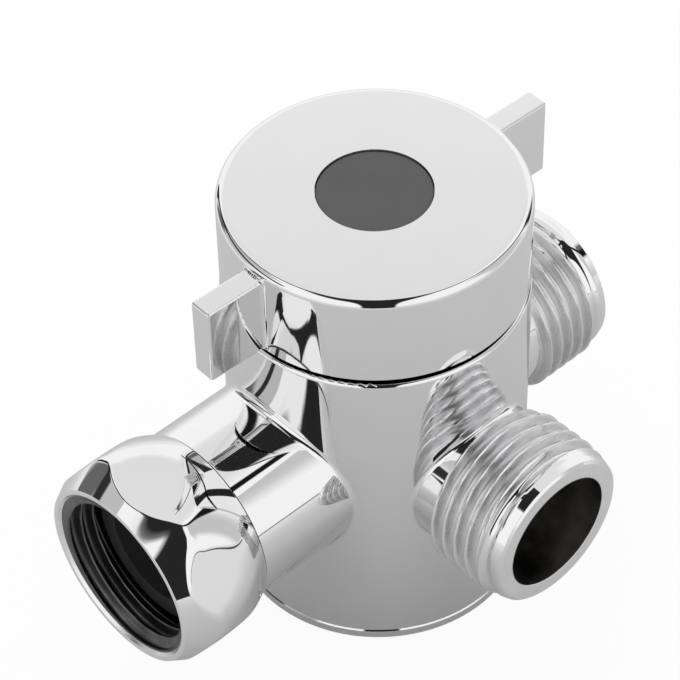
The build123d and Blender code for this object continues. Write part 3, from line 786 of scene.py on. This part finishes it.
def barrel_radius(reach):
    """The long arc of the nut's outside and the turned cone at its mouth."""
    belly = NUT_MOUTH - BELLY_FROM_MOUTH
    run, rise = belly - NUT_REAR, BELLY_R - REAR_R
    arc = (rise ** 2 + run ** 2) / (2 * rise)
    long_arc = BELLY_R - arc + np.sqrt(arc ** 2 - (belly - reach) ** 2)
    back = NUT_MOUTH - reach
    mouth_cone = RIM_R + MOUTH_SLOPE * back - MOUTH_HOLLOW * back ** 2
    return soft_min(long_arc, mouth_cone, MOUTH_ROUNDING)


def with_flats(reach, radius, angle):
    """The barrel's radius where the six flats cut it."""
    turned = (angle - FLAT_LEAN + FLAT_TURN / 2) % FLAT_TURN - FLAT_TURN / 2
    rounding = CRISP_EDGE + EXTRA_ROUNDING * np.clip((CRISP_FROM - reach) / CRISP_RUN, 0, 1)
    return soft_min(radius, HALF_FLATS / np.cos(turned), rounding)


# %% The nut's thread and the whole nut
COLLAR_END, WASHER_END, NUT_THREAD_END = 30.4, 36.1, 40.62
COLLAR_BORE_R, RELIEF_R, MOUTH_R, THREAD_FLOOR_R = 8.85, 10.5775, 10.9775, 10.62
NUT_CREST_AT, REAR_RUN_OUT, FRONT_RUN_OUT, FRONT_FADE_END = 38.3, 0.5, 0.2, 40.7
INSIDE_R, BORE_SIDE_R = 10.99, 10.6   # under these a point is on the nut's inside, or its thread
THREAD_ROWS_R = 9.4                   # of the thread's rows before they are shaped
RIM_OUTER_R, COUNTERSINK_END, THREAD_LEAD, RIM_ARC = 11.55, (40.68, 10.68), (40.65, 10.3), 0.06
REAR_OUTER_R, WASHER_EDGE_R, REAR_ARC = 11.36, 10.2, 0.08
NUT_ROWS, NUT_COLUMNS, REAR_GAP, MOUTH_GAP = 110, 480, 0.03, 0.05
NUT_THREAD_STEP, THREAD_ROWS_START, WASHER_GAP = 0.1, 40.6, 0.05


def nut_shape(reach, radius, angle):
    """Flats on the outside and a female thread on the inside."""
    height = ridge(reach, angle, NUT_CREST_AT)
    fade = np.clip((reach - WASHER_END) / REAR_RUN_OUT, 0, 1)
    fade = fade * np.clip((FRONT_FADE_END - reach) / FRONT_RUN_OUT, 0, 1)
    cut_r = CREST_R - (CREST_R - ROOT_R) * height
    thread = THREAD_FLOOR_R - (THREAD_FLOOR_R - cut_r) * fade
    in_thread = (reach > WASHER_END) & (reach < NUT_THREAD_END) & (radius < BORE_SIDE_R)
    inside = np.where(in_thread, thread, radius)
    shaped = np.where(radius > INSIDE_R, with_flats(reach, radius, angle), inside)
    return shaped, np.where(in_thread, height, 1.0)


rows = np.linspace(NUT_REAR + REAR_GAP, NUT_MOUTH - MOUTH_GAP, NUT_ROWS)
reaches = np.concatenate([[NUT_REAR], rows, [NUT_MOUTH]])
outside_run = np.column_stack([reaches, barrel_radius(reaches)])
rim_and_bore = softened([
    (NUT_MOUTH, RIM_OUTER_R), (NUT_MOUTH, MOUTH_R), COUNTERSINK_END, THREAD_LEAD,
], RIM_ARC)
thread_run = densely(np.array([
    (THREAD_ROWS_START, THREAD_ROWS_R), (WASHER_END + WASHER_GAP, THREAD_ROWS_R),
]), NUT_THREAD_STEP)
rear_run = softened([
    (WASHER_END, WASHER_EDGE_R), (WASHER_END, RELIEF_R), (COLLAR_END, RELIEF_R),
    (COLLAR_END, COLLAR_BORE_R), (NUT_REAR, COLLAR_BORE_R), (NUT_REAR, REAR_OUTER_R),
], REAR_ARC)
nut_section = np.vstack([outside_run, rim_and_bore, thread_run, rear_run])
nut = port_skin("swivel_nut_shell", "inlet", nut_section, plate, "swivel_nut",
                NUT_COLUMNS, nut_shape, closed=True)
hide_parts("inlet_swivel_nut")

# %% The satin rim of the nut, and painted shade on its dark inside
SATIN_R, SATIN_FROM = 11.5, 40.0
DARK_R, DARK_FROM = 10.66, 30.5


def nearer_than(radius, reach_from):
    """Picks faces inside a radius about the nut's axis and beyond a reach."""

    def where(middles):
        reach, off_axis = along_port(middles, "inlet")
        return (off_axis < radius) & (reach > reach_from)

    return where


refinish(nut, satin_plate, nearer_than(SATIN_R, SATIN_FROM))
# Painted shade on the nut's inside, within DARK_R of its axis and beyond DARK_FROM.
refinish(nut, shaded_nut_inside, nearer_than(DARK_R, DARK_FROM))

# %% [markdown]
# ## The studio
#
# The valve stands on a plain pale floor in soft light from all round. In a photograph of chrome the
# metal shows the studio: a white tent above, a greyer table below, and the dark parts of the tent
# about the camera. The table's grey and the dark parts are cards that only reflections see.

# %% The floor
FLOOR_R, FLOOR_DROP, FLOOR_GLOW = 3000, 0.1, 0.92


def disc(name, height, radius, sides=64):
    """A flat round card or floor about the spindle."""
    turn = math.pi / sides + 2 * math.pi * np.arange(sides) / sides
    corners = np.column_stack([
        radius * np.cos(turn), radius * np.sin(turn), np.full(sides, height),
    ])
    card = new_piece(name, corners, [list(range(sides))])
    return card


def seen_directly(bench):
    """1 for rays of the camera, of mirrors and through glass, 0 for scattered light."""
    rays = bench.tree.nodes.new("ShaderNodeLightPath")
    kinds = [Flow(bench, rays.outputs[name]) for name in
             ("Is Camera Ray", "Is Glossy Ray", "Is Transmission Ray")]
    return (kinds[0] + kinds[1] + kinds[2]).at_most(1.0)


def floor_finish():
    material, bench = new_material("pale_floor")
    speckle = bench.cloud(30, detail=3)
    lit = bench.node("ShaderNodeBsdfDiffuse", None, {
        "Color": bench.blend(speckle, (0.93, 0.93, 0.93), (0.95, 0.95, 0.95)),
    })
    bright = bench.node("ShaderNodeEmission", None, {"Color": (1, 1, 1, 1), "Strength": 1.0})
    bench.finish(bench.node("ShaderNodeMixShader", None, {
        0: seen_directly(bench) * FLOOR_GLOW, 1: lit, 2: bright,
    }))
    return material


floor = disc("floor", -FLOOR_DROP, FLOOR_R)
dress(floor, floor_finish())
print("floor at", floor.data.vertices[0].co.z / MM, "mm")

# %% The table that only reflections see
TABLE_R, TABLE_DROP = 800, 0.05


def reflections_only(card):
    card.visible_camera = False
    card.visible_diffuse = False
    card.visible_shadow = False
    card.visible_transmission = False
    return card


def table_finish():
    """A table painted greyer near the valve: painted shade that grows lighter further away."""
    material, bench = new_material("table_grey")
    place = bench.node("ShaderNodeTexCoord", out="Object")
    distance = bench.node("ShaderNodeVectorMath", {"operation": "LENGTH"}, {0: place}, out=1)
    # Painted shade: the tone ramp is darkest close to the valve and lighter further out.
    tone = bench.ramp(distance / (TABLE_R * MM), [
        (0.0, 0.6), (0.07, 0.61), (0.1, 0.63), (0.15, 0.69), (0.29, 0.85), (0.8, 0.95),
    ])
    bench.finish(bench.node("ShaderNodeBsdfDiffuse", None, {"Color": tone}))
    return material


table_card = reflections_only(disc("table_card", -TABLE_DROP, TABLE_R))
dress(table_card, table_finish())
print("table card:", table_card.name)

# %% [markdown]
# The tent has dark parts too: the gap in front of the camera, the seam that arches from one side
# over the top to the other, and greyer walls left and right. Each is a bent strip of card. A strip
# follows a row of directions seen from the valve, given as (turn from the camera, height, half the
# width) in degrees, and it fades out toward its edges.

# %% Where the camera stands
AIM = (2.714, 9.455, 25.0)
AZIMUTH, ELEVATION, ROLL = math.radians(-42.142), math.radians(45.790), math.radians(-1.437)
toward_camera = Vector((
    math.sin(AZIMUTH) * math.cos(ELEVATION),
    -math.cos(AZIMUTH) * math.cos(ELEVATION),
    math.sin(ELEVATION),
))

# %% Bent strips of card
CORNER_CUTS, STRIP_COLUMNS = 3, 13


def heading(turn, height):
    """A direction from the valve: degrees to the right of the camera, degrees above level."""
    turn, height = math.radians(turn) + AZIMUTH - math.pi / 2, math.radians(height)
    return np.array([
        math.cos(turn) * math.cos(height), math.sin(turn) * math.cos(height), math.sin(height),
    ])


def smoothed(rows):
    """A row of points whose corners are cut a few times over."""
    for _ in range(CORNER_CUTS):
        early = 0.75 * rows[:-1] + 0.25 * rows[1:]
        late = 0.25 * rows[:-1] + 0.75 * rows[1:]
        cut = np.stack([early, late], axis=1).reshape(-1, rows.shape[1])
        rows = np.vstack([rows[:1], cut, rows[-1:]])
    return rows


def fading(count, soft):
    """1 in the middle of a row, falling to 0 at its ends within the soft share."""
    return np.clip((1 - np.abs(np.linspace(-1, 1, count))) / soft, 0, 1)


def strip(name, tone, away, soft, stops, soft_ends=False):
    """A bent strip of card at a distance, with a cover of 1 in the middle and 0 at the edges."""
    rows = smoothed(np.array([[*heading(turn, height), half] for turn, height, half in stops]))
    middle, half = unit(rows[:, :3]), np.tan(np.radians(rows[:, 3]))
    sideways = unit(np.cross(middle, unit(np.gradient(middle, axis=0))))
    across = half[:, None, None] * np.linspace(-1, 1, STRIP_COLUMNS)[None, :, None]
    points = np.array(AIM) + away * unit(middle[:, None, :] + across * sideways[:, None, :])
    ends = fading(len(rows), soft) if soft_ends else np.ones(len(rows))
    cover = ends[:, None] * fading(STRIP_COLUMNS, soft)[None, :]
    ids = np.arange(cover.size).reshape(cover.shape)
    quads = np.stack([ids[:-1, :-1], ids[:-1, 1:], ids[1:, 1:], ids[1:, :-1]], axis=-1)
    card = new_piece(name, points.reshape(-1, 3), quads.reshape(-1, 4))
    covers = card.data.attributes.new("cover", "FLOAT", "POINT")
    covers.data.foreach_set("value", cover.ravel())
    material, bench = new_material(name)
    share = bench.node("ShaderNodeAttribute", {"attribute_name": "cover"}, out="Fac")
    clear = bench.node("ShaderNodeBsdfTransparent")
    shade = bench.node("ShaderNodeEmission", None, {"Color": rgba((tone, tone, tone))})
    bench.finish(bench.node("ShaderNodeMixShader", None, {0: share, 1: clear, 2: shade}))
    dress(card, material)
    return reflections_only(card)


# %% The tent's ceiling, walls and dark parts
strips = [
    strip("ceiling", 0.81, 900, 0.35, [(0, 60, 30), (0, 75, 32), (180, 75, 34), (180, 39, 38)],
          soft_ends=True),
    strip("left_wall", 0.55, 750, 0.4, [(-110, -6, 24), (-100, 25, 24), (-88, 50, 20)]),
    strip("right_wall", 0.6, 750, 0.4, [(92, -6, 20), (90, 20, 20), (84, 48, 16)]),
    strip("left_leg", 0.14, 700, 0.5, [(-122, -8, 13), (-124, 12, 11), (-122, 30, 7)]),
    strip("right_leg", 0.14, 700, 0.5, [(122, -8, 13), (122, 10, 10), (116, 26, 6)]),
    strip("seam", 0.01, 650, 0.3, [
        (-138, -6, 4), (-138, 10, 4), (-134, 24, 4), (-122, 38, 4), (-106, 49, 4),
        (-80, 62, 4), (-30, 67, 5), (0, 68, 5), (30, 67, 4), (70, 59, 3.5),
        (98, 45, 3.5), (110, 30, 3.5), (116, 20, 3.5), (122, -6, 4),
    ]),
    strip("camera_gap", 0.02, 250, 0.15, [
        (1.5, -6, 10.5), (1.5, 20, 10.5), (1.5, 45, 12), (1.5, 74, 26),
    ]),
    strip("left_bar", 0.03, 620, 0.25, [
        (-134, 26, 4), (-112, 27, 6), (-88, 21, 7), (-60, 18, 6),
    ]),
    strip("table_edge", 0.03, 300, 0.5, [(50, -2.5, 0.5), (64, -2.5, 0.6), (86, -2.5, 0.4)]),
    strip("gap_shoulder", 0.02, 550, 0.2, [
        (13, 58, 14), (-10, 57, 15), (-30, 60, 12), (-50, 64, 8), (-72, 66, 4),
    ]),
]
print("strips:", ", ".join(card.name for card in strips))

# %% [markdown]
# ## Light and camera
#
# The world gives most of the light, evenly, and one large soft lamp from above and behind gives
# the shadow a direction. The camera is the photograph's own, found by fitting the circles of the
# handle and the ports.

# %% The world
FILL_LIGHT, BACKDROP = 0.8, 1.0

world = bpy.data.worlds.new("studio")
bpy.context.scene.world = world
world.use_nodes = True
sky = Bench(world.node_tree)
fill, white = [
    sky.node("ShaderNodeBackground", None, {"Color": (1, 1, 1, 1), "Strength": strength})
    for strength in (FILL_LIGHT, BACKDROP)
]
mixed = sky.node("ShaderNodeMixShader", None, {0: seen_directly(sky), 1: fill, 2: white})
sky.node("ShaderNodeOutputWorld", None, {"Surface": mixed})
print("world nodes:", len(world.node_tree.nodes))

# %% The lamp
LAMP_SIZE, LAMP_WATTS = 700 * MM, 1.6
LAMP_PLACE, LAMP_AIM = Vector((150, 350, 800)) * MM, Vector((0, 0, 20)) * MM

lamp_data = bpy.data.lights.new("soft_lamp", "AREA")
lamp_data.size = LAMP_SIZE
lamp_data.energy = LAMP_WATTS
lamp = bpy.data.objects.new("soft_lamp", lamp_data)
lamp.location = LAMP_PLACE
lamp.rotation_euler = (LAMP_AIM - LAMP_PLACE).to_track_quat("-Z", "Y").to_euler()
lamp.visible_glossy = False
bpy.context.scene.collection.objects.link(lamp)
print("lamp at", [round(v, 2) for v in lamp.location])

# %% The camera
DISTANCE, FOCAL_PX, FRAME_PX, SENSOR = 354.26, 2867.3, 680, 36

right = Vector((math.cos(AZIMUTH), math.sin(AZIMUTH), 0))
above = toward_camera.cross(right)
frame_right = math.cos(ROLL) * right + math.sin(ROLL) * above
frame_up = -math.sin(ROLL) * right + math.cos(ROLL) * above
camera_data = bpy.data.cameras.new("photo_camera")
camera_data.sensor_width = SENSOR
camera_data.lens = FOCAL_PX / FRAME_PX * SENSOR
camera_data.clip_start, camera_data.clip_end = 0.01, 20
camera = bpy.data.objects.new("photo_camera", camera_data)
place = (Vector(AIM) + toward_camera * DISTANCE) * MM
turned_to = Matrix((frame_right, frame_up, toward_camera)).transposed().to_4x4()
camera.matrix_world = Matrix.Translation(place) @ turned_to
bpy.context.scene.collection.objects.link(camera)
bpy.context.scene.camera = camera
bpy.context.scene.view_settings.view_transform = "Standard"
print("lens", round(camera_data.lens, 1), "mm")
